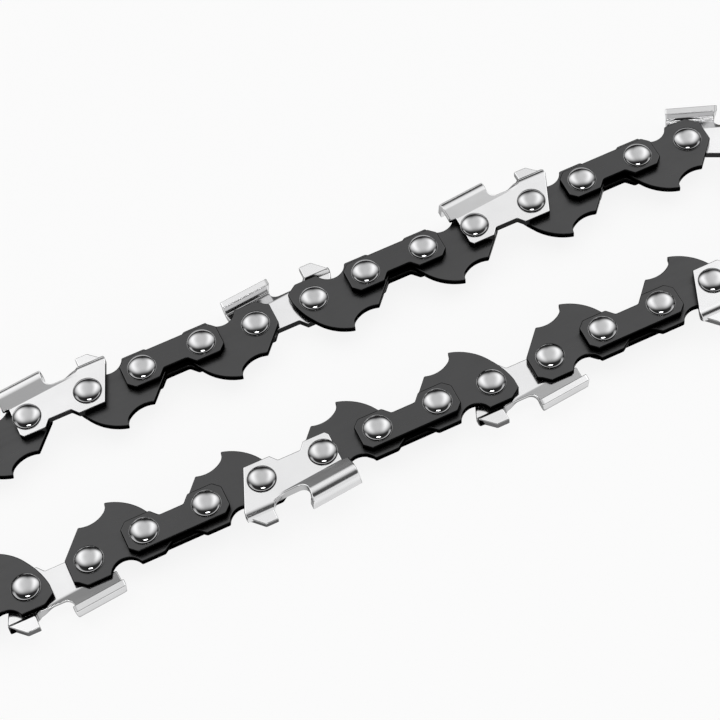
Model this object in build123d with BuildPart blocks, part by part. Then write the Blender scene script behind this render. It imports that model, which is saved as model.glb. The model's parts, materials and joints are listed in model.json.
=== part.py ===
"""A closed loop of low-profile saw chain, lying on its side.

Drive links run down the middle of the chain and their tangs point into the loop. Between two drive
links sits a side link: either a pair of tie straps, or a cutter on the right or on the left hand.
Two rivets hold each side link, and the drive links turn on them, so the loop has one pivot a rivet.
All lengths are millimetres and all angles degrees. +Z is up, the floor is Z = 0 and the straight
runs lie along X, so every rivet stands upright.
"""
import os
from math import cos, dist, pi, radians, sin

from build123d import *

# The loop: its links, the rivet centres along them, and the slack oval that they lie in
DRIVE_LINKS = 20
DRIVE_CENTRES = 8.84
SIDE_CENTRES = 9.80
RUN_SPACING = 25.8
LINK_PHASE = 5.0

# Drive link: a plate with two lobes round its rivets, a notch between them, and the tang below
DRIVE_THICKNESS = 1.10
LOBE_TOP = 3.8
LOBE_END = 3.3
NOTCH_DEPTH = 1.6
TANG_DEPTH = 7.7
TANG_REACH = 3.5
HEEL_DEPTH = 5.6

# Tie strap: a plate with a straight outer edge and a waist on the tang side. Its feet reach past
# the rivets towards the waist, as a cutter's do
STRAP_THICKNESS = 1.20
STRAP_TOP = 2.75
STRAP_FOOT = 2.8
STRAP_END = 3.1
STRAP_WAIST = 1.55
STRAP_CHAMFER = 1.1
FOOT_REACH = 1.9

# Cutter: a flat body, a bulged side wall that turns over into the top plate, and a depth gauge.
# Wall, top plate and fold rise towards the front at the rake, and their heights hold at mid-link
CUTTER_THICKNESS = 1.20
CUTTER_FOOT = 3.05
CUTTER_WAIST = 1.9
CUTTER_NOSE = 4.5
CUTTER_REAR = 2.05
RAKE = 5.5
WALL_START = 3.0
WALL_BULGE = 0.80
WALL_REAR = 7.6
WALL_UPRIGHT = 1.6
TOP_HEIGHT = 7.0
TOP_FRONT = 0.4
TOP_OVERLAP = 0.35
GULLET_REAR = 0.5
GULLET_FLOOR = 3.7
GULLET_RADIUS = 1.1
GAUGE_HEIGHT = 6.65
GAUGE_WIDTH = 4.2
GAUGE_TOP = 2.0
GAUGE_LEAN = 0.6

# Rivet: an eight-sided pin with a head at each end
RIVET_SIDES = 8
PIN_RADIUS = 1.40
HEAD_RADIUS = 2.15
HEAD_HEIGHT = 0.90
HEAD_TAPER = 40

# Fits: the pin in a drive link's bore, and the side play of a drive link between its neighbours
PIN_CLEARANCE = 0.05
SIDE_PLAY = 0.05

# Levels over the chain's middle plane
PLATE_LEVEL = DRIVE_THICKNESS / 2 + SIDE_PLAY
STRAP_LEVEL = PLATE_LEVEL + STRAP_THICKNESS
CUTTER_LEVEL = PLATE_LEVEL + CUTTER_THICKNESS
CHAIN_LEVEL = STRAP_LEVEL + HEAD_HEIGHT

PIN_FLAT_TURN = 180 / RIVET_SIDES


def oval_point(travel, half_run):
    """The point after a given travel, clockwise round the oval from the start of its upper run."""
    radius = RUN_SPACING / 2
    run = 2 * half_run
    lap = 2 * (run + pi * radius)
    travel = travel % lap
    side = 1 if travel < lap / 2 else -1
    along = travel % (lap / 2)
    if along < run:
        return (side * (along - half_run), side * radius)
    turn = pi / 2 - (along - run) / radius
    return (side * (half_run + radius * cos(turn)), side * radius * sin(turn))


def step_on(travel, chord, half_run):
    """The travel at which the straight distance from the given one has grown to the chord."""
    start = oval_point(travel, half_run)
    low, high = travel + 0.9 * chord, travel + 1.3 * chord
    for _ in range(50):
        middle = (low + high) / 2
        if dist(start, oval_point(middle, half_run)) < chord:
            low = middle
        else:
            high = middle
    return low


def rivet_travels(half_run):
    """Where one half of the rivets comes on the oval, with the first of the other half at the end."""
    travels = [half_run + LINK_PHASE - SIDE_CENTRES / 2]
    for link in range(DRIVE_LINKS):
        chord = SIDE_CENTRES if link % 2 == 0 else DRIVE_CENTRES
        travels.append(step_on(travels[-1], chord, half_run))
    return travels


def rivet_centres():
    """The rivets' centres, clockwise. The second half is the first one turned by half a turn."""
    lap_length = DRIVE_LINKS * (SIDE_CENTRES + DRIVE_CENTRES)
    low, high = 0.0, lap_length / 4
    for _ in range(50):
        half_run = (low + high) / 2
        travels = rivet_travels(half_run)
        if travels[-1] - travels[0] > 2 * half_run + pi * RUN_SPACING / 2:
            low = half_run
        else:
            high = half_run
    first_half = [oval_point(travel, half_run) for travel in travels[:-1]]
    return first_half + [(-x, -y) for x, y in first_half]


def link_planes():
    """One plane a link, at the middle of its two rivets: X along the link, Y out of the loop."""
    centres = rivet_centres()
    planes = []
    for start, end in zip(centres, centres[1:] + centres[:1]):
        middle = ((start[0] + end[0]) / 2, (start[1] + end[1]) / 2, CHAIN_LEVEL)
        along = (end[0] - start[0], end[1] - start[1], 0)
        planes.append(Plane(origin=middle, x_dir=along, z_dir=(0, 0, 1)))
    return planes


def pin_section(mode=Mode.ADD):
    """The rivet pin's section, which is also the hole that the pin fills in a side plate."""
    RegularPolygon(PIN_RADIUS, RIVET_SIDES, rotation=PIN_FLAT_TURN, mode=mode)


def make_drive_link():
    """The middle plate. Its front is towards -X, and its two bores turn on the rivet pins."""
    front, rear = -DRIVE_CENTRES / 2, DRIVE_CENTRES / 2
    bore_inradius = PIN_RADIUS + PIN_CLEARANCE
    tip = (front + TANG_REACH, -TANG_DEPTH)
    heel = (rear - 0.4, -HEEL_DEPTH)
    gullet_end = (rear - 4.2, -HEEL_DEPTH - 0.8)
    notch_start, notch_end = (front + 2.1, LOBE_TOP), (rear - 1.5, LOBE_TOP)
    throat = (front - 1.6, -3.4)
    with BuildPart() as link:
        with BuildSketch(Plane.XY.offset(-DRIVE_THICKNESS / 2)):
            with BuildLine():
                Polyline((front - LOBE_END, 2.6), (front - 1.6, LOBE_TOP), notch_start)
                Polyline(notch_start, (front + 3.1, LOBE_TOP - NOTCH_DEPTH),
                         (rear - 2.5, LOBE_TOP - NOTCH_DEPTH), notch_end)
                Polyline(notch_end, (rear + 1.6, LOBE_TOP), (rear + LOBE_END, 2.4),
                         (rear + LOBE_END, -1.4), heel)
                Polyline(heel, gullet_end, tip)
                ThreePointArc(tip, (front + 0.5, -0.8 * TANG_DEPTH), throat)
                Polyline(throat, (front - LOBE_END, -2.2), (front - LOBE_END, 2.6))
            make_face()
            with Locations((front, 0), (rear, 0)):
                RegularPolygon(bore_inradius, RIVET_SIDES, major_radius=False,
                               rotation=PIN_FLAT_TURN, mode=Mode.SUBTRACT)
        extrude(amount=DRIVE_THICKNESS)
    return link.part


def make_tie_straps():
    """The two straps of a tie link, one on each side of the drive links."""
    end = SIDE_CENTRES / 2 + STRAP_END
    foot = SIDE_CENTRES / 2 - FOOT_REACH
    outline = [
        (end, STRAP_TOP - STRAP_CHAMFER), (end - STRAP_CHAMFER, STRAP_TOP),
        (STRAP_CHAMFER - end, STRAP_TOP), (-end, STRAP_TOP - STRAP_CHAMFER),
        (-end, STRAP_CHAMFER - STRAP_FOOT), (STRAP_CHAMFER - end, -STRAP_FOOT),
        (-foot, -STRAP_FOOT), (STRAP_CHAMFER - foot, -STRAP_WAIST),
        (foot - STRAP_CHAMFER, -STRAP_WAIST), (foot, -STRAP_FOOT),
        (end - STRAP_CHAMFER, -STRAP_FOOT), (end, STRAP_CHAMFER - STRAP_FOOT),
    ]
    with BuildPart() as straps:
        with BuildSketch(Plane.XY.offset(PLATE_LEVEL)):
            Polygon(*outline, align=None)
            with GridLocations(SIDE_CENTRES, 0, 2, 1):
                pin_section(Mode.SUBTRACT)
        extrude(amount=STRAP_THICKNESS)
        mirror(about=Plane.XY)
    return straps.part


def make_right_cutter():
    """The right-hand cutter: body, side wall with top plate, gullet and depth gauge."""
    front, rear = SIDE_CENTRES / 2, -SIDE_CENTRES / 2
    nose = front + CUTTER_NOSE
    tail = rear - CUTTER_REAR
    slope_top = TOP_HEIGHT - WALL_UPRIGHT
    gauge_start = nose - GAUGE_WIDTH
    inner, outer, skin = PLATE_LEVEL, CUTTER_LEVEL, CUTTER_THICKNESS
    bulge = outer + WALL_BULGE
    fold = WALL_START + 1.0
    body_outline = [
        (tail, WALL_START - 0.2), (tail, 0.6 - CUTTER_FOOT), (tail + 0.45, -CUTTER_FOOT),
        (rear + FOOT_REACH, -CUTTER_FOOT), (rear + FOOT_REACH + 0.9, -CUTTER_WAIST),
        (front - FOOT_REACH - 1.5, -CUTTER_WAIST),
        (front - FOOT_REACH - 0.6, -CUTTER_FOOT), (front + 1.7, -CUTTER_FOOT), (nose, fold),
        (gauge_start, fold),
    ]
    wall_section = [
        (WALL_START, outer), (slope_top, bulge), (TOP_HEIGHT - 0.8, bulge),
        (TOP_HEIGHT, bulge - 0.8), (TOP_HEIGHT, -TOP_OVERLAP), (TOP_HEIGHT - skin, -TOP_OVERLAP),
        (TOP_HEIGHT - skin, bulge - skin), (slope_top + 0.1, bulge - skin), (WALL_START + 0.4, inner),
        (WALL_START - 0.6, inner), (WALL_START - 0.6, outer),
    ]
    gauge_section = [
        (fold - 0.6, outer), (fold, outer), (GAUGE_HEIGHT, outer - GAUGE_LEAN),
        (GAUGE_HEIGHT, inner - GAUGE_LEAN), (fold, inner), (fold - 0.6, inner),
    ]
    across = (-sin(radians(RAKE)), cos(radians(RAKE)), 0)
    raked = (cos(radians(RAKE)), sin(radians(RAKE)), 0)
    gullet_start = (-GULLET_REAR, GULLET_FLOOR + GULLET_RADIUS)
    gullet_turn = (0.3 * GULLET_RADIUS - GULLET_REAR, GULLET_FLOOR + 0.3 * GULLET_RADIUS)
    gullet_end = (GULLET_RADIUS - GULLET_REAR, GULLET_FLOOR)
    ramp_foot = (nose, fold + 0.6)
    clear = TOP_HEIGHT + 2
    cut_height = bulge + TOP_OVERLAP + 2
    with BuildPart() as cutter:
        with BuildSketch(Plane.XY.offset(inner)):
            Polygon(*body_outline, align=None)
        extrude(amount=skin)
        with BuildSketch(Plane(origin=(0, 0, 0), x_dir=across, z_dir=raked).offset(-WALL_REAR)):
            Polygon(*wall_section, align=None)
        extrude(amount=WALL_REAR + gauge_start)
        with BuildSketch(Plane.YZ.offset(gauge_start)):
            Polygon(*gauge_section, align=None)
        extrude(amount=GAUGE_WIDTH)
        with BuildSketch(Plane.XY.offset(-TOP_OVERLAP - 1)):
            with BuildLine():
                Polyline((TOP_FRONT, clear), (-GULLET_REAR, TOP_HEIGHT - 1.4), gullet_start)
                ThreePointArc(gullet_start, gullet_turn, gullet_end)
                Polyline(gullet_end, (gauge_start - 0.8, GULLET_FLOOR), (gauge_start, GULLET_FLOOR + 0.8),
                         (gauge_start, clear), (TOP_FRONT, clear))
            make_face()
            Polygon(ramp_foot, (gauge_start + GAUGE_TOP, GAUGE_HEIGHT), (gauge_start + GAUGE_TOP, clear),
                    (nose + 1, clear), (nose + 1, fold + 0.6), align=None)
            with GridLocations(SIDE_CENTRES, 0, 2, 1):
                pin_section()
        extrude(amount=cut_height, mode=Mode.SUBTRACT)
    return cutter.part


def make_rivets(top_level, bottom_level):
    """A side link's two rivets, whose heads sit on the given levels above and below."""
    middle = Plane.XY.offset((top_level + bottom_level) / 2)
    half_grip = (top_level - bottom_level) / 2
    with BuildPart() as rivets:
        with BuildSketch(middle):
            with GridLocations(SIDE_CENTRES, 0, 2, 1):
                pin_section()
        extrude(amount=half_grip)
        with BuildSketch(middle.offset(half_grip)):
            with GridLocations(SIDE_CENTRES, 0, 2, 1):
                RegularPolygon(HEAD_RADIUS, RIVET_SIDES, rotation=PIN_FLAT_TURN)
        extrude(amount=HEAD_HEIGHT, taper=HEAD_TAPER)
        mirror(about=middle)
    return rivets.part


def turned_over(piece):
    """The same piece on the chain's other hand."""
    with BuildPart() as other:
        mirror(piece, about=Plane.XY)
    return other.part


def put_in_place(piece, plane, label):
    """Write a copy of the piece on a link's plane, as a node of its own."""
    placed = piece.moved(plane.location)
    placed.label = label
    export_step(placed, f"parts/{label}.step")


def main():
    """Build one of each piece, then lay the whole loop link by link."""
    os.makedirs("parts", exist_ok=True)
    drive_link = make_drive_link()
    tie_straps = make_tie_straps()
    right_cutter = make_right_cutter()
    left_cutter = turned_over(right_cutter)
    strap_rivets = make_rivets(STRAP_LEVEL, -STRAP_LEVEL)
    right_rivets = make_rivets(CUTTER_LEVEL, -PLATE_LEVEL)
    left_rivets = turned_over(right_rivets)

    for link, plane in enumerate(link_planes()):
        number = link // 2 + 1
        if link % 2 == 1:
            put_in_place(drive_link, plane, f"drive_link_{number:02d}")
        elif link % 4 == 2:
            put_in_place(tie_straps, plane, f"tie_straps_{number:02d}")
            put_in_place(strap_rivets, plane, f"rivets_{number:02d}")
        elif link % 8 == 4:
            put_in_place(right_cutter, plane, f"right_cutter_{number:02d}")
            put_in_place(right_rivets, plane, f"rivets_{number:02d}")
        else:
            put_in_place(left_cutter, plane, f"left_cutter_{number:02d}")
            put_in_place(left_rivets, plane, f"rivets_{number:02d}")


main()
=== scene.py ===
"""The looks of a closed loop of low-profile saw chain: stamped plates, folded cutters and riveted pins.

Every plate is a flat blank worked out from its outline, with its edges rounded over. A cutter's blank
is then folded into its side wall, top plate and depth gauge. Lengths are millimetres until a mesh is
made, and the frame's pivots say where each link lies.
"""

import json
from math import cos, pi, radians, sin, tan

import bpy
import numpy as np
from mathutils import Matrix, Vector
from mathutils.geometry import delaunay_2d_cdt


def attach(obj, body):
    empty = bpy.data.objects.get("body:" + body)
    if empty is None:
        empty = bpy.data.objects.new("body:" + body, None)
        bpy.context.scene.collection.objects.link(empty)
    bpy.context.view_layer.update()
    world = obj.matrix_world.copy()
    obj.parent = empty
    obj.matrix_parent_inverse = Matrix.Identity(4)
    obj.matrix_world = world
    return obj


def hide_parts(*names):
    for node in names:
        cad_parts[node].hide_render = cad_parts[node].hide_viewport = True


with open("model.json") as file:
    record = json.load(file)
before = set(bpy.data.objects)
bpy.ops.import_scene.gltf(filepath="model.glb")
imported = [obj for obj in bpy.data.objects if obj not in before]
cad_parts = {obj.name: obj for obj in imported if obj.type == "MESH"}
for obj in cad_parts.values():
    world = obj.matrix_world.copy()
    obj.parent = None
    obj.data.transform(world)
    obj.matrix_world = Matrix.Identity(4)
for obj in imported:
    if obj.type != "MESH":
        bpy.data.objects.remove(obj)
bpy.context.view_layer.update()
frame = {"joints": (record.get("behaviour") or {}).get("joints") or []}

MM = 0.001
LINKS = 40

# The levels and sizes that the plates share with the solids
PLATE_LEVEL = 0.60
DRIVE_THICKNESS = 1.10
STRAP_THICKNESS = 1.20
CUTTER_THICKNESS = 1.20
STRAP_LEVEL = PLATE_LEVEL + STRAP_THICKNESS
CUTTER_LEVEL = PLATE_LEVEL + CUTTER_THICKNESS
DRIVE_CENTRES = 8.84
SIDE_CENTRES = 9.80
PIN_RADIUS = 1.40
BORE_RADIUS = 1.45
HEAD_RADIUS = 2.15
HEAD_HEIGHT = 0.90

# How much each plate's edges and its outline's corners are rounded
DRIVE_EDGE = 0.20
DRIVE_CORNER = 0.26
STRAP_EDGE = 0.24
STRAP_CORNER = 0.34
CUTTER_EDGE = 0.17
CUTTER_CORNER = 0.20

# How finely outlines, edges and folds are divided
OUTLINE_STEP = 0.20
FINENESS = 16
HOLE_POINTS = 32
EDGE_RINGS = 4
HEAD_POINTS = 48
FOLD_STEP = 0.055
ALONG_STEP = 0.30
TABLE_STEP = 0.01

# The turn of the photograph's view round the vertical, which the light follows too
VIEW_TURN = radians(17.653)


# Outlines

def arc_through(start, middle, end, count=24):
    """The circle through three points, from the first to the last.

    Its centre solves the two equations that say the three points are equally far away, and the
    points are spread evenly over the angle that the arc takes."""
    a, b, c = (np.array(p, float) for p in (start, middle, end))
    rows = np.array([b - a, c - a])
    centre = np.linalg.solve(rows, (rows * (rows / 2 + a)).sum(axis=1))
    angles = np.unwrap([np.arctan2(*(p - centre)[::-1]) for p in (a, b, c)])
    turn = np.linspace(angles[0], angles[2], count)
    radius = np.hypot(*(a - centre))
    return centre + radius * np.column_stack([np.cos(turn), np.sin(turn)])


def softened(runs, blur, step=OUTLINE_STEP):
    """A closed outline with even steps and soft corners.

    The runs are joined, and points are taken at equal travel along them. Each point is then the mean
    of the outline over a short travel either side of it, which rounds every corner alike."""
    corners = np.vstack([np.atleast_2d(np.array(run, float)) for run in runs])
    ends = np.vstack([corners, corners[:1]])
    travel = np.concatenate([[0], np.cumsum(np.hypot(*np.diff(ends, axis=0).T))])
    total = int(travel[-1] / step) * FINENESS
    at = np.arange(total) * travel[-1] / total
    points = np.column_stack([np.interp(at, travel, ends[:, k]) for k in (0, 1)])
    reach = max(1, int(round(blur / (travel[-1] / total))))
    kernel = np.hanning(2 * reach + 1)
    kernel = kernel / kernel.sum()
    wrapped = np.vstack([points[-reach:], points, points[:reach]])
    loop = np.column_stack([np.convolve(wrapped[:, k], kernel, "valid") for k in (0, 1)])[::FINENESS]
    after = np.roll(loop, -1, axis=0)
    area = (loop[:, 0] * after[:, 1] - loop[:, 1] * after[:, 0]).sum()
    return loop if area > 0 else loop[::-1]


def circle(centre, radius, count=HOLE_POINTS):
    """A hole's outline: points evenly round a circle, turning the other way from a plate's edge."""
    turn = -2 * pi * np.arange(count) / count
    return np.array(centre, float) + radius * np.column_stack([np.cos(turn), np.sin(turn)])


def outward(loop):
    """The direction out of the metal at each point of a loop: its travel direction turned right."""
    ahead = np.roll(loop, -1, axis=0) - np.roll(loop, 1, axis=0)
    ahead = ahead / np.hypot(ahead[:, 0], ahead[:, 1])[:, None]
    return np.column_stack([ahead[:, 1], -ahead[:, 0]])


# Blanks: points, their normals, and faces

def closed_strip(first, second, count):
    """Quads between two rings of points that follow each other round a loop."""
    here = np.arange(count)
    there = (here + 1) % count
    return np.column_stack([first + here, first + there, second + there, second + here])


def filled(loops, inside=None):
    """Triangles that fill a plate's face between its edge and its holes, through any inner points."""
    points = np.vstack(loops if inside is None else loops + [inside])
    edges = []
    first = 0
    for loop in loops:
        here = np.arange(len(loop))
        edges.append(np.column_stack([here, (here + 1) % len(loop)]) + first)
        first += len(loop)
    out = delaunay_2d_cdt([Vector(p) for p in points.tolist()], np.vstack(edges).tolist(), [], 2, 1e-6)
    places = np.array([v[:] for v in out[0]])
    source = np.array([found[0] if found else np.hypot(*(points - place).T).argmin()
                       for found, place in zip(out[3], places)])
    corners = source[np.array(out[2])]
    whole = (corners != np.roll(corners, 1, axis=1)).all(axis=1)
    return corners[whole]


def blank(loops, low, high, edge, inside=None):
    """A flat plate with rounded edges, from its edge loop and hole loops.

    Round each loop the edge is a quarter circle at the top, a straight wall and a quarter circle at
    the bottom: at the angle a the point lies edge * (1 - sin a) inside the loop and edge * (1 - cos a)
    under the face. The two faces are filled between the innermost rings."""
    angles = np.linspace(0, pi / 2, EDGE_RINGS)
    turns = np.concatenate([angles, angles[::-1]])
    side = np.concatenate([np.ones(EDGE_RINGS), -np.ones(EDGE_RINGS)])
    levels = np.where(side > 0, high, low) - side * edge * (1 - np.cos(turns))
    points, normals, quads = [], [], []
    tops, bottoms, faces_of = [], [], []
    first = 0
    for loop in loops:
        count = len(loop)
        out = outward(loop)
        rings = loop[None] - (edge * (1 - np.sin(turns)))[:, None, None] * out[None]
        height = np.broadcast_to(levels[:, None, None], (len(turns), count, 1))
        points.append(np.concatenate([rings, height], axis=2).reshape(-1, 3))
        sideways = np.sin(turns)[:, None, None] * out[None]
        upright = np.broadcast_to((side * np.cos(turns))[:, None, None], (len(turns), count, 1))
        normals.append(np.concatenate([sideways, upright], axis=2).reshape(-1, 3))
        for ring in range(len(turns) - 1):
            quads.append(closed_strip(first + (ring + 1) * count, first + ring * count, count))
        tops.append(rings[0])
        faces_of.append((first, count, first + (len(turns) - 1) * count))
        first += len(turns) * count
    points, normals = np.vstack(points), np.vstack(normals)
    triangles = filled(tops, inside)
    top_index = np.concatenate([f + np.arange(n) for f, n, _ in faces_of])
    low_index = np.concatenate([b + np.arange(n) for _, n, b in faces_of])
    if inside is not None:
        extra = np.arange(len(inside))
        top_index = np.concatenate([top_index, first + extra])
        low_index = np.concatenate([low_index, first + len(inside) + extra])
        for level, up in ((high, 1.0), (low, -1.0)):
            points = np.vstack([points, np.column_stack([inside, np.full(len(inside), level)])])
            normals = np.vstack([normals, np.tile([0.0, 0.0, up], (len(inside), 1))])
    # The side mask: how far each point's normal faces sideways, which later decides where a dark reflection
    # is painted.
    stamped = np.hypot(normals[:, 0], normals[:, 1])
    caps = np.vstack([top_index[triangles], low_index[triangles][:, ::-1]])
    return points, normals, np.vstack(quads), caps, stamped


def joined(parts):
    """Several shapes as one: their points one after another, with the faces counted on."""
    starts = np.cumsum([0] + [len(shape[0]) for shape in parts[:-1]])
    return (np.vstack([shape[0] for shape in parts]),
            np.vstack([shape[1] for shape in parts]),
            np.vstack([shape[2] + start for shape, start in zip(parts, starts)]),
            np.vstack([shape[3] + start for shape, start in zip(parts, starts)]),
            np.concatenate([shape[4] for shape in parts]))


def turned_over(shape):
    """The shape on the chain's other hand: its levels change sign, and its faces turn round."""
    flip = np.array([1, 1, -1])
    return shape[0] * flip, shape[1] * flip, shape[2][:, ::-1], shape[3][:, ::-1], shape[4]


# Where the links lie

def pivot_centres():
    """The rivets' centres in millimetres, from the frame's pivots. The loop is the same after half a
    turn, so the pivot that the tree leaves open lies across from its twin."""
    found = {int(j["name"].split("_")[1]): np.array(j["pos_m"][:2]) / MM for j in frame["joints"]}
    return np.array([found[n] if n in found else -found[(n + LINKS // 2) % LINKS] for n in range(LINKS)])


CENTRES = pivot_centres()
CHAIN_LEVEL = frame["joints"][0]["pos_m"][2] / MM


def placed(shape, link):
    """The shape moved from its own link's axes to the link's place: X along the link, Y outwards."""
    start, end = CENTRES[link], CENTRES[(link + 1) % LINKS]
    along = (end - start) / np.hypot(*(end - start))
    turn = np.array([[along[0], along[1], 0], [-along[1], along[0], 0], [0, 0, 1]])
    middle = np.append((start + end) / 2, CHAIN_LEVEL)
    return shape[0] @ turn + middle, shape[1] @ turn, shape[2], shape[3], shape[4]


def add_piece(name, shape, body, nodes, material):
    """A mesh object from a shape's arrays, with the shape's own normals."""
    points, normals, quads, triangles, stamped = shape
    mesh = bpy.data.meshes.new(name)
    mesh.from_pydata((points * MM).tolist(), [], quads.tolist() + triangles.tolist())
    mesh.update()
    mesh.shade_smooth()
    mesh.normals_split_custom_set_from_vertices(normals.tolist())
    # The side mask is stored for the finish, which paints a dark reflection where it is high.
    mesh.attributes.new("stamped", "FLOAT", "POINT").data.foreach_set("value", stamped)
    mesh.materials.append(material)
    piece = bpy.data.objects.new(name, mesh)
    bpy.context.scene.collection.objects.link(piece)
    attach(piece, body)
    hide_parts(*nodes)


# The drive link, the straps and the rivets

def drive_link_shape():
    """The middle plate: lobes, an arched notch, a straight rear end and a curved front down to the
    tang, whose back is a hooked gullet."""
    front, rear = -DRIVE_CENTRES / 2, DRIVE_CENTRES / 2
    lobe_end, lobe_top, notch = 3.3, 3.8, 2.35
    tip, heel = (front + 3.5, -7.7), (rear - 0.4, -5.6)
    outline = softened([
        [tip, (tip[0] + 0.18, -6.9), (tip[0] + 0.5, -6.4)],
        arc_through((tip[0] + 0.5, -6.4), (1.75, -5.35), heel),
        [heel, (rear + lobe_end, -1.4), (rear + lobe_end, 2.4), (rear + 2.7, 2.75), (rear + 1.6, lobe_top),
         (notch, lobe_top)],
        arc_through((notch, lobe_top), (0.0, 2.12), (-notch, lobe_top)),
        [(-notch, lobe_top), (front - 1.6, lobe_top), (front - lobe_end, 2.6), (front - lobe_end, 1.0)],
        arc_through((front - lobe_end, 1.0), (front - 2.75, -1.2), (front - 1.6, -3.6)),
        arc_through((front - 1.6, -3.6), (front + 0.5, -6.16), tip),
    ], DRIVE_CORNER)
    holes = [circle((x, 0.0), BORE_RADIUS) for x in (front, rear)]
    return blank([outline] + holes, -DRIVE_THICKNESS / 2, DRIVE_THICKNESS / 2, DRIVE_EDGE)


def tie_strap_shape():
    """Both straps of a tie link: a straight outer edge, chamfered ends and a waist between the feet."""
    end, foot, chamfer = SIDE_CENTRES / 2 + 3.1, SIDE_CENTRES / 2 - 1.9, 1.1
    waist, sole, back = -1.55, -2.8, 2.75
    half = [(0.0, waist), (foot - chamfer, waist), (foot, sole), (end - chamfer, sole),
            (end, sole + chamfer), (end, back - chamfer), (end - chamfer, back)]
    mirrored = [(-x, y) for x, y in half[:0:-1]]
    outline = softened([half, mirrored], STRAP_CORNER)
    holes = [circle((x, 0.0), PIN_RADIUS) for x in (-SIDE_CENTRES / 2, SIDE_CENTRES / 2)]
    strap = blank([outline] + holes, PLATE_LEVEL, STRAP_LEVEL, STRAP_EDGE)
    return joined([strap, turned_over(strap)])


def lathed(radii, levels, dark, count=HEAD_POINTS):
    """A closed turned solid from its profile, top to bottom, with a pole at each end.

    A point at the angle a lies at radius * (cos a, sin a). Its normal is the profile's travel direction
    turned outwards. The dark mask, which says where a dark reflection is painted, is given for each ring of
    the profile."""
    radii, levels = np.array(radii), np.array(levels)
    out = np.column_stack([-np.gradient(levels), np.gradient(radii)])
    out = out / np.hypot(out[:, 0], out[:, 1])[:, None]
    turn = 2 * pi * np.arange(count) / count
    round_about = np.column_stack([np.cos(turn), np.sin(turn)])
    rings = len(radii)

    def turned(sideways, upright):
        height = np.broadcast_to(upright[:, None, None], (rings, count, 1))
        return np.concatenate([sideways[:, None, None] * round_about[None], height], axis=2).reshape(-1, 3)

    points = turned(radii, levels)
    normals = turned(out[:, 0], out[:, 1])
    quads = np.vstack([closed_strip((ring + 1) * count, ring * count, count) for ring in range(rings - 1)])
    here = np.arange(count)
    there = (here + 1) % count
    top, low = rings * count, rings * count + 1
    last = (rings - 1) * count
    caps = np.vstack([np.column_stack([here, there, np.full(count, top)]),
                      np.column_stack([last + there, last + here, np.full(count, low)])])
    points = np.vstack([points, [[0, 0, levels[0]], [0, 0, levels[-1]]]])
    normals = np.vstack([normals, [[0, 0, 1], [0, 0, -1]]])
    return points, normals, quads, caps, np.concatenate([np.repeat(dark, count), [0.0, 0.0]])


def rivet_profile(top_level, bottom_level):
    """Half a rivet's section from crown to crown: a dome, a short side painted dark, a thin ring pressed out
    round it and painted half as dark, the pin and the same again below. At the radius r the dome lies 0.58 *
    (r / wide)^3 under the crown. The mask that comes with it is one on the side and a half on the ring: it
    says where a dark reflection is painted."""
    wide = HEAD_RADIUS - 0.06
    fall = 0.58
    reach = np.linspace(0.02, 1.0, 18) ** 0.75 * wide
    dome = HEAD_HEIGHT - fall * (reach / wide) ** 3
    # The third number of each row is the painted dark reflection: full on the side, half on the ring.
    side = [(wide + 0.04, 0.26, 1.0), (wide + 0.06, 0.18, 1.0), (wide + 0.07, 0.12, 1.0),
            (wide + 0.07, 0.06, 1.0)]
    ring = [(wide + 0.08, 0.03, 0.5), (wide + 0.13, 0.03, 0.5), (wide + 0.15, 0.0, 0.5),
            (wide + 0.09, -0.02, 0.0)]
    rest = side + ring + [(PIN_RADIUS, -0.02, 0.0), (PIN_RADIUS, -0.1, 0.0)]
    radii = np.concatenate([reach, [row[0] for row in rest]])
    above = np.concatenate([dome, [row[1] for row in rest]])
    dark = np.concatenate([np.zeros(len(reach)), [row[2] for row in rest]])
    levels = np.concatenate([top_level + above, (bottom_level - above)[::-1]])
    return np.concatenate([radii, radii[::-1]]), levels, np.concatenate([dark, dark[::-1]])


def rivets_shape(top_level, bottom_level):
    """A side link's two rivets."""
    rivet = lathed(*rivet_profile(top_level, bottom_level))
    pair = [(rivet[0] + np.array([x, 0, 0]),) + rivet[1:] for x in (-SIDE_CENTRES / 2, SIDE_CENTRES / 2)]
    return joined(pair)


# The cutter: a developed blank, and the fold that bends it

# How much the top plate climbs towards the front
RAKE = radians(5.5)

# The sheet's angle in degrees at each developed height: of the wall and top plate, and of the gauge
WALL_BENDS = ([-9.0, 3.0, 3.4, 5.46, 6.13, 9.0], [0, 0, 20, 20, -90, -90])
GAUGE_BENDS = ([-9.0, 3.85, 4.05, 4.65, 4.85, 9.0], [0, 0, -48, -48, -4, -4])
TABLE_FROM = -4.0
TABLE_TO = 9.0

# Where the wall's section starts to change into the gauge's, and over what length
BLEND_FROM = 2.2
BLEND_LENGTH = 2.6

# The blank's developed edges
FLAT_TO = 3.2
GULLET_FLOOR = 3.98
TOP_EDGE = 7.53
GAUGE_EDGE = 6.86
WALL_REAR = 7.6
SOLE = -3.05
BELLY = -1.9

# How strongly the painted dark reflection covers the folded edges, against one for the flat plate's stamped
# edges
GAUGE_RIM_PAINTED_SHADE = 0.6
GULLET_RIM_PAINTED_SHADE = 0.45
TOP_RIM_PAINTED_SHADE = 0.36


def section_table(bends):
    """A folded sheet's section: its angle at each developed height, and where it has got to by the
    running sums of the angle's cosine and sine."""
    height = np.arange(TABLE_FROM, TABLE_TO, TABLE_STEP)
    angle = np.radians(np.interp(height, *bends))
    across = TABLE_FROM + np.cumsum(np.cos(angle)) * TABLE_STEP - TABLE_STEP
    lift = np.cumsum(np.sin(angle)) * TABLE_STEP
    return height, angle, across, lift


WALL_TABLE = section_table(WALL_BENDS)
GAUGE_TABLE = section_table(GAUGE_BENDS)


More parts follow.
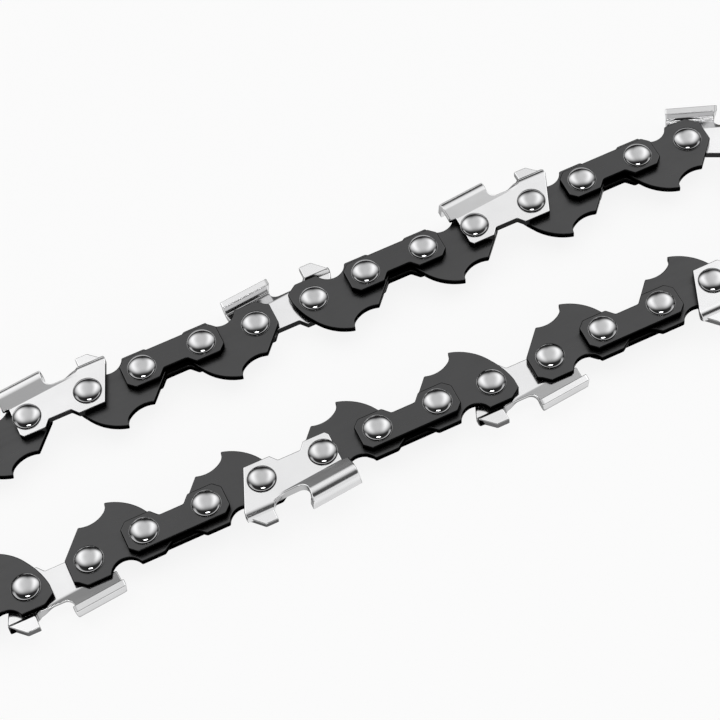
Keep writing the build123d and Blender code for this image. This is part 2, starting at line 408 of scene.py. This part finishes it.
def folded(points):
    """Bend the developed blank: along the link a point keeps its place, and across it follows the
    wall's section behind the gullet and the gauge's section before it, with a smooth change from one
    to the other. The wall's section is raised by the rake, so its folds climb towards the front."""
    along, height, level = points.T
    share = ((along - BLEND_FROM) / BLEND_LENGTH).clip(0, 1)
    share = share * share * (3 - 2 * share)
    climb = along * tan(RAKE) * (1 - share)
    looked = [[np.interp(height - climb, WALL_TABLE[0], WALL_TABLE[k]) for k in (1, 2, 3)],
              [np.interp(height, GAUGE_TABLE[0], GAUGE_TABLE[k]) for k in (1, 2, 3)]]
    angle = (1 - share) * looked[0][0] + share * looked[1][0]
    across = (1 - share) * (looked[0][1] + climb) + share * looked[1][1]
    lift = (1 - share) * looked[0][2] + share * looked[1][2]
    over = level - PLATE_LEVEL
    return np.column_stack([along, across - over * np.sin(angle), PLATE_LEVEL + lift + over * np.cos(angle)])


def inside_loop(points, loop, margin):
    """Which points lie inside a loop and at least a margin from it: a ray to the right crosses the
    loop an odd number of times."""
    after = np.roll(loop, -1, axis=0)
    x, y = points[:, 0][:, None], points[:, 1][:, None]
    spans = (loop[:, 1][None] > y) != (after[:, 1][None] > y)
    rise = np.where(after[:, 1] == loop[:, 1], 1e-9, after[:, 1] - loop[:, 1])
    meets = loop[:, 0][None] + (y - loop[:, 1][None]) * (after[:, 0] - loop[:, 0])[None] / rise[None]
    odd = (spans & (x < meets)).sum(axis=1) % 2 == 1
    near = np.hypot(x - loop[:, 0][None], y - loop[:, 1][None]).min(axis=1)
    return odd & (near > margin)


def cutter_shape():
    """The right-hand cutter, folded from its blank. Its front end carries the depth gauge, and the
    gullet lies between that and the top plate."""
    front, rear = SIDE_CENTRES / 2, -SIDE_CENTRES / 2
    nose, tail, gauge_back = front + 4.5, rear - 2.05, front + 0.3
    slant = tan(RAKE)
    outline = softened([
        [(tail, 2.8), (tail, -2.45), (tail + 0.45, SOLE), (rear + 1.9, SOLE), (rear + 2.8, BELLY),
         (front - 3.4, BELLY), (front - 2.5, SOLE), (front + 1.7, SOLE), (nose, 4.0), (nose, 4.6),
         (gauge_back + 2.0, GAUGE_EDGE), (gauge_back, GAUGE_EDGE), (gauge_back, 4.8)],
        arc_through((gauge_back, 4.8), (gauge_back - 0.25, 4.2), (gauge_back - 0.9, GULLET_FLOOR)),
        arc_through((0.75, GULLET_FLOOR), (-0.13, 4.3), (-0.5, 5.1)),
        [(-0.5, 5.5), (-0.25, 6.2), (-0.12, TOP_EDGE), (-WALL_REAR - TOP_EDGE * slant, TOP_EDGE - 0.8),
         (-WALL_REAR - 3.0 * slant, 2.8)],
    ], CUTTER_CORNER)
    inner = softened([outline], CUTTER_CORNER)
    holes = [circle((x, 0.0), PIN_RADIUS) for x in (rear, front)]
    meshed_from, margin = 2.3, 0.22
    along, height = np.meshgrid(np.arange(-8.6, 9.4, ALONG_STEP), np.arange(meshed_from, TOP_EDGE, FOLD_STEP))
    grid = np.column_stack([along.ravel(), height.ravel()])
    grid = grid[inside_loop(grid, inner, margin)]
    flat = blank([outline] + holes, PLATE_LEVEL, CUTTER_LEVEL, CUTTER_EDGE, grid)
    points, normals, quads, triangles, stamped = flat
    gauge_from, gullet_from, nudge = gauge_back + 0.1, -0.6, 0.01
    # The folded edges keep only part of the side mask, so their painted dark reflection is lighter.
    raised = np.where(points[:, 0] > gauge_from, GAUGE_RIM_PAINTED_SHADE,
                      np.where(points[:, 0] > gullet_from, GULLET_RIM_PAINTED_SHADE, TOP_RIM_PAINTED_SHADE))
    stamped = stamped * np.where(points[:, 1] < FLAT_TO, 1.0, raised)
    bent = folded(points)
    tilt = folded(points + normals * nudge) - bent
    tilt = tilt / np.linalg.norm(tilt, axis=1)[:, None]
    return bent, tilt, quads, triangles, stamped


# Finishes

def new_group(name, inputs, outputs):
    """An empty shader group with its named inputs (with their values) and outputs."""
    group = bpy.data.node_groups.new(name, "ShaderNodeTree")
    for label, value in inputs:
        socket = group.interface.new_socket(name=label, in_out="INPUT", socket_type="NodeSocketFloat")
        socket.default_value = value
    for label, kind in outputs:
        group.interface.new_socket(name=label, in_out="OUTPUT", socket_type=kind)
    return group, group.nodes.new("NodeGroupInput"), group.nodes.new("NodeGroupOutput")


def add_node(tree, kind, settings=None, **values):
    """A node with its settings, and its numbered or named inputs set or linked."""
    node = tree.nodes.new(kind)
    for key, value in (settings or {}).items():
        setattr(node, key, value)
    for key, value in values.items():
        socket = node.inputs[int(key[1:]) if key[0] == "i" and key[1:].isdigit() else key.replace("_", " ")]
        if isinstance(value, bpy.types.NodeSocket):
            tree.links.new(value, socket)
        else:
            socket.default_value = value
    return node


def steel_grain_group():
    """Fine uneven steel: a cloudy shade, small scratches drawn out along the chain, and their height."""
    group, given, result = new_group("steel_grain", [("Cloud Scale", 300.0), ("Scratch Scale", 900.0)],
                                     [("Shade", "NodeSocketFloat"), ("Scratch", "NodeSocketFloat")])
    place = add_node(group, "ShaderNodeTexCoord")
    cloud = add_node(group, "ShaderNodeTexNoise", Vector=place.outputs["Object"],
                     Scale=given.outputs["Cloud Scale"], Detail=3.0, Roughness=0.55)
    drawn = add_node(group, "ShaderNodeMapping", Vector=place.outputs["Object"], Scale=(0.15, 1.0, 1.0))
    scratch = add_node(group, "ShaderNodeTexNoise", Vector=drawn.outputs["Vector"],
                       Scale=given.outputs["Scratch Scale"], Detail=2.0, Roughness=0.5)
    group.links.new(cloud.outputs["Fac"], result.inputs["Shade"])
    group.links.new(scratch.outputs["Fac"], result.inputs["Scratch"])
    return group


def painted_side_shade_group():
    """A mask of a plate's stamped sides, from the attribute that its blank was given: where it is one, the
    finish paints a dark reflection on the side.
    """
    group, given, result = new_group("painted_side_shade", [("Starts", 0.30), ("Full", 0.66)],
                                     [("Side", "NodeSocketFloat")])
    stamped = add_node(group, "ShaderNodeAttribute", {"attribute_name": "stamped"})
    side = add_node(group, "ShaderNodeMapRange", Value=stamped.outputs["Fac"],
                    From_Min=given.outputs["Starts"], From_Max=given.outputs["Full"])
    group.links.new(side.outputs["Result"], result.inputs["Side"])
    return group


STEEL_GRAIN = steel_grain_group()
PAINTED_SIDE_SHADE = painted_side_shade_group()

# How far the shade and the roughness vary, how deep the scratches are, and the colour at a grazing angle
CLOUD_RANGE = (0.93, 1.05)
ROUGH_RANGE = (0.85, 1.2)
SCRATCH_DEPTH = 0.00002
RIM_TINT = (0.35, 0.35, 0.35, 1)


def finish(name, face, side, rough, side_rough, cloud, scratch, bump):
    """A steel finish: its face and stamped side each have a colour and a roughness, both a little uneven, and
    fine scratches stand in the surface. The side's colour is a painted dark reflection, much darker than the
    face, in place of the dark surroundings that the sides would mirror."""
    material = bpy.data.materials.new(name)
    material.use_nodes = True
    tree = material.node_tree
    tree.nodes.clear()
    grain = tree.nodes.new("ShaderNodeGroup")
    grain.node_tree = STEEL_GRAIN
    grain.inputs["Cloud Scale"].default_value = cloud
    grain.inputs["Scratch Scale"].default_value = scratch
    edge = tree.nodes.new("ShaderNodeGroup")
    edge.node_tree = PAINTED_SIDE_SHADE
    low, high = ([c * change for c in face] + [1.0] for change in CLOUD_RANGE)
    shade = add_node(tree, "ShaderNodeMix", {"data_type": "RGBA"}, i0=grain.outputs["Shade"],
                     i6=low, i7=high)
    # The stamped sides are painted almost black: a painted dark reflection.
    colour = add_node(tree, "ShaderNodeMix", {"data_type": "RGBA"}, i0=edge.outputs["Side"],
                      i6=shade.outputs[2], i7=list(side) + [1.0])
    dull = add_node(tree, "ShaderNodeMapRange", Value=grain.outputs["Scratch"], From_Min=0.3, From_Max=0.7,
                    To_Min=rough * ROUGH_RANGE[0], To_Max=rough * ROUGH_RANGE[1])
    sheen = add_node(tree, "ShaderNodeMix", {"data_type": "FLOAT"}, i0=edge.outputs["Side"],
                     i2=dull.outputs["Result"], i3=side_rough)
    relief = add_node(tree, "ShaderNodeBump", Strength=bump, Distance=SCRATCH_DEPTH,
                      Height=grain.outputs["Scratch"])
    steel = add_node(tree, "ShaderNodeBsdfPrincipled", Base_Color=colour.outputs[2],
                     Roughness=sheen.outputs[0], Normal=relief.outputs["Normal"])
    steel.inputs["Metallic"].default_value = 1.0
    steel.inputs["Specular Tint"].default_value = RIM_TINT
    add_node(tree, "ShaderNodeOutputMaterial", Surface=steel.outputs["BSDF"])
    return material


# Each side colour below is a painted dark reflection on the stamped sides.
DRIVE_STEEL = finish("satin_dark_drive_steel", face=(0.078, 0.078, 0.079), side=(0.005, 0.005, 0.005),
                     rough=0.32, side_rough=0.16, cloud=260, scratch=1100, bump=0.05)
STRAP_STEEL = finish("satin_dark_strap_steel", face=(0.076, 0.076, 0.077), side=(0.004, 0.004, 0.004),
                     rough=0.30, side_rough=0.12, cloud=260, scratch=1100, bump=0.05)
CUTTER_CHROME = finish("bright_cutter_chrome", face=(0.82, 0.82, 0.825), side=(0.03, 0.03, 0.03),
                       rough=0.16, side_rough=0.12, cloud=200, scratch=900, bump=0.04)
RIVET_STEEL = finish("polished_rivet_steel", face=(0.53, 0.53, 0.535), side=(0.02, 0.02, 0.02),
                     rough=0.06, side_rough=0.08, cloud=400, scratch=1500, bump=0.02)


# The loop, link by link

def lay_loop():
    """Every piece of the loop, in the place of its node."""
    drive_link = drive_link_shape()
    tie_straps = tie_strap_shape()
    right_cutter = cutter_shape()
    left_cutter = turned_over(right_cutter)
    strap_rivets = rivets_shape(STRAP_LEVEL, -STRAP_LEVEL)
    right_rivets = rivets_shape(CUTTER_LEVEL, -PLATE_LEVEL)
    left_rivets = rivets_shape(PLATE_LEVEL, -CUTTER_LEVEL)
    for link in range(LINKS):
        number = f"{link // 2 + 1:02d}"
        if link % 2 == 1:
            add_piece("drive_plate_" + number, placed(drive_link, link), "drive_" + number,
                      ["drive_link_" + number], DRIVE_STEEL)
            continue
        body = "side_" + number
        if link % 4 == 2:
            add_piece("strap_pair_" + number, placed(tie_straps, link), body, ["tie_straps_" + number],
                      STRAP_STEEL)
            rivets = strap_rivets
        elif link % 8 == 4:
            add_piece("cutter_plate_" + number, placed(right_cutter, link), body, ["right_cutter_" + number],
                      CUTTER_CHROME)
            rivets = right_rivets
        else:
            add_piece("cutter_plate_" + number, placed(left_cutter, link), body, ["left_cutter_" + number],
                      CUTTER_CHROME)
            rivets = left_rivets
        add_piece("rivet_pair_" + number, placed(rivets, link), body, ["rivets_" + number],
                  RIVET_STEEL)


lay_loop()


# The studio, in metres

FLOOR_REACH = 6.0
FLOOR_LEVEL = -0.0001
FLOOR_GLOW = 0.86


def ramp(tree, value, start, full, bottom=0.0, top=1.0):
    """The value's smooth change from bottom to top between two places."""
    node = add_node(tree, "ShaderNodeMapRange", {"interpolation_type": "SMOOTHSTEP"}, Value=value,
                    From_Min=start, From_Max=full, To_Min=bottom, To_Max=top)
    return node.outputs["Result"]


def reckoned(tree, operation, *terms):
    """The result of one calculation on numbers or sockets."""
    node = add_node(tree, "ShaderNodeMath", {"operation": operation},
                    **{f"i{place}": term for place, term in enumerate(terms)})
    return node.outputs[0]


def add_floor():
    """A white floor under the loop. The camera and reflections see it mostly by its own light, and
    the rest keeps the loop's shadow."""
    mesh = bpy.data.meshes.new("studio_floor")
    square = ((-1, -1), (1, -1), (1, 1), (-1, 1))
    corners = [(x * FLOOR_REACH, y * FLOOR_REACH, FLOOR_LEVEL) for x, y in square]
    mesh.from_pydata(corners, [], [(0, 1, 2, 3)])
    paper = bpy.data.materials.new("white_paper")
    paper.use_nodes = True
    tree = paper.node_tree
    shader = tree.nodes["Principled BSDF"]
    shader.inputs["Base Color"].default_value = (0.98, 0.98, 0.98, 1)
    shader.inputs["Roughness"].default_value = 1.0
    shader.inputs["Specular IOR Level"].default_value = 0.0
    path = add_node(tree, "ShaderNodeLightPath")
    shown = reckoned(tree, "MAXIMUM", path.outputs["Is Camera Ray"], path.outputs["Is Glossy Ray"])
    share = reckoned(tree, "MULTIPLY", shown, FLOOR_GLOW)
    white = add_node(tree, "ShaderNodeEmission", Strength=1.0)
    mixed = add_node(tree, "ShaderNodeMixShader", i0=share, i1=shader.outputs["BSDF"],
                     i2=white.outputs["Emission"])
    tree.links.new(mixed.outputs["Shader"], tree.nodes["Material Output"].inputs["Surface"])
    mesh.materials.append(paper)
    floor = bpy.data.objects.new("studio_floor", mesh)
    bpy.context.scene.collection.objects.link(floor)


def add_world():
    """Soft light from the sky, whose level is a product of smooth ramps.

    X points to the camera's right, Y away from it and Z up. The light grows with Y + Z, goes dark low
    behind the loop, where Z + 0.6 * |X| is small, and doubles towards both sides. A second light lies
    low before the loop. The camera sees plain white."""
    world = bpy.data.worlds.new("studio_light")
    bpy.context.scene.world = world
    world.use_nodes = True
    tree = world.node_tree
    tree.nodes.clear()
    aim = add_node(tree, "ShaderNodeTexCoord")
    faced = add_node(tree, "ShaderNodeVectorRotate", {"rotation_type": "Z_AXIS"},
                     Vector=aim.outputs["Generated"], Angle=VIEW_TURN)
    parts = add_node(tree, "ShaderNodeSeparateXYZ", Vector=faced.outputs["Vector"]).outputs
    sideways = reckoned(tree, "ABSOLUTE", parts["X"])
    behind = ramp(tree, reckoned(tree, "ADD", parts["Y"], parts["Z"]), 0.50, 1.33, 0.02, 0.97)
    clear = ramp(tree, reckoned(tree, "MULTIPLY_ADD", sideways, 0.6, parts["Z"]), 0.36, 0.84, 0.04)
    ends = ramp(tree, sideways, 0.06, 0.55, 1.0, 2.0)
    sky = reckoned(tree, "MULTIPLY", reckoned(tree, "MULTIPLY", behind, clear), ends)
    low = ramp(tree, parts["Z"], 0.64, 0.48, 0.0, 0.88)
    ahead = ramp(tree, parts["Y"], 0.30, -0.10)
    level = reckoned(tree, "MAXIMUM", sky, reckoned(tree, "MULTIPLY", low, ahead))
    path = add_node(tree, "ShaderNodeLightPath")
    seen = add_node(tree, "ShaderNodeMix", {"data_type": "FLOAT"}, i0=path.outputs["Is Camera Ray"],
                    i2=level, i3=1.0)
    light = add_node(tree, "ShaderNodeBackground", Strength=seen.outputs[0])
    light.inputs["Color"].default_value = (1, 1, 1, 1)
    add_node(tree, "ShaderNodeOutputWorld", Surface=light.outputs["Background"])


def add_lamp():
    """A small soft lamp above the camera's side, which gives each rivet its highlight."""
    turn, rise, away = VIEW_TURN, radians(55), 0.9
    data = bpy.data.lights.new("front_lamp", "AREA")
    data.shape = "ELLIPSE"
    data.size, data.size_y = 0.34, 0.10
    data.energy = 0.6
    lamp = bpy.data.objects.new("front_lamp", data)
    place = Vector((-sin(turn) * cos(rise), -cos(turn) * cos(rise), sin(rise))) * away
    lamp.matrix_world = Matrix.Translation(place) @ place.to_track_quat("Z", "Y").to_matrix().to_4x4()
    bpy.context.scene.collection.objects.link(lamp)


def add_camera():
    """The camera at the photograph's angle, from its turn and height round a point of the loop."""
    turn, rise, roll = VIEW_TURN, radians(58.425), radians(-8.307)
    target = np.array([11.695, -0.031, 2.70]) * MM
    away = 342.5 * MM
    ahead = np.array([sin(turn), cos(turn)])
    forward = np.array([cos(rise) * ahead[0], cos(rise) * ahead[1], -sin(rise)])
    right = np.array([ahead[1], -ahead[0], 0.0])
    up = np.cross(right, forward)
    right, up = cos(roll) * right + sin(roll) * up, cos(roll) * up - sin(roll) * right
    data = bpy.data.cameras.new("studio_camera")
    data.angle = radians(18)
    data.clip_start = 0.01
    camera = bpy.data.objects.new("studio_camera", data)
    pose = np.eye(4)
    pose[:3, :3] = np.column_stack([right, up, -forward])
    pose[:3, 3] = target - away * forward
    camera.matrix_world = Matrix(pose.tolist())
    bpy.context.scene.collection.objects.link(camera)
    bpy.context.scene.camera = camera


add_floor()
add_world()
add_lamp()
add_camera()
bpy.context.scene.view_settings.view_transform = "Standard"
